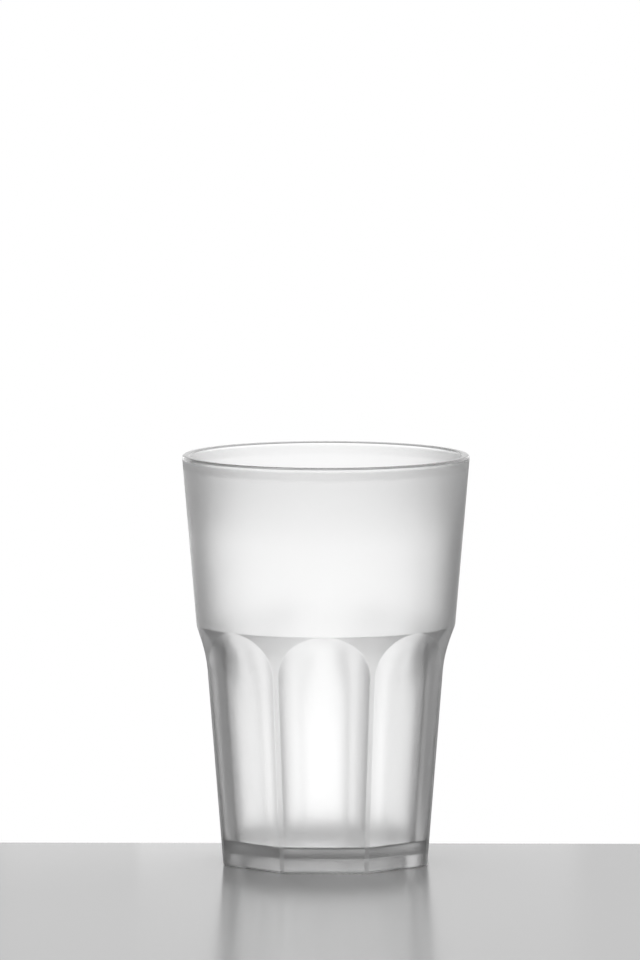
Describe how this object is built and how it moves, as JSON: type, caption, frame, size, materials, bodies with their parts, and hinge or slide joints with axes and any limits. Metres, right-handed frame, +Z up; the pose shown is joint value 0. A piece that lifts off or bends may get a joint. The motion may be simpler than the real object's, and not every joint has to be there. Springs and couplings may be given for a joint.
{
  "type": "plastic tumbler",
  "caption": "Frosted plastic drinking tumbler: tapered round wall over flat arch-topped panels, rounded lip, softly faceted inside, dished floor and hollow foot.",
  "frame": {"origin": "centre of the foot, on the table", "axes": "+Z up the tumbler's axis to the mouth; -Y out of the middle of the panel that faces the viewer, +X to the viewer's right"},
  "size_m": [0.0878, 0.0878, 0.125],
  "materials": {
    "plastic": "frosted translucent"
  },
  "bodies": {
    "root": {"tumbler": "plastic"}
  },
  "joints": []
}
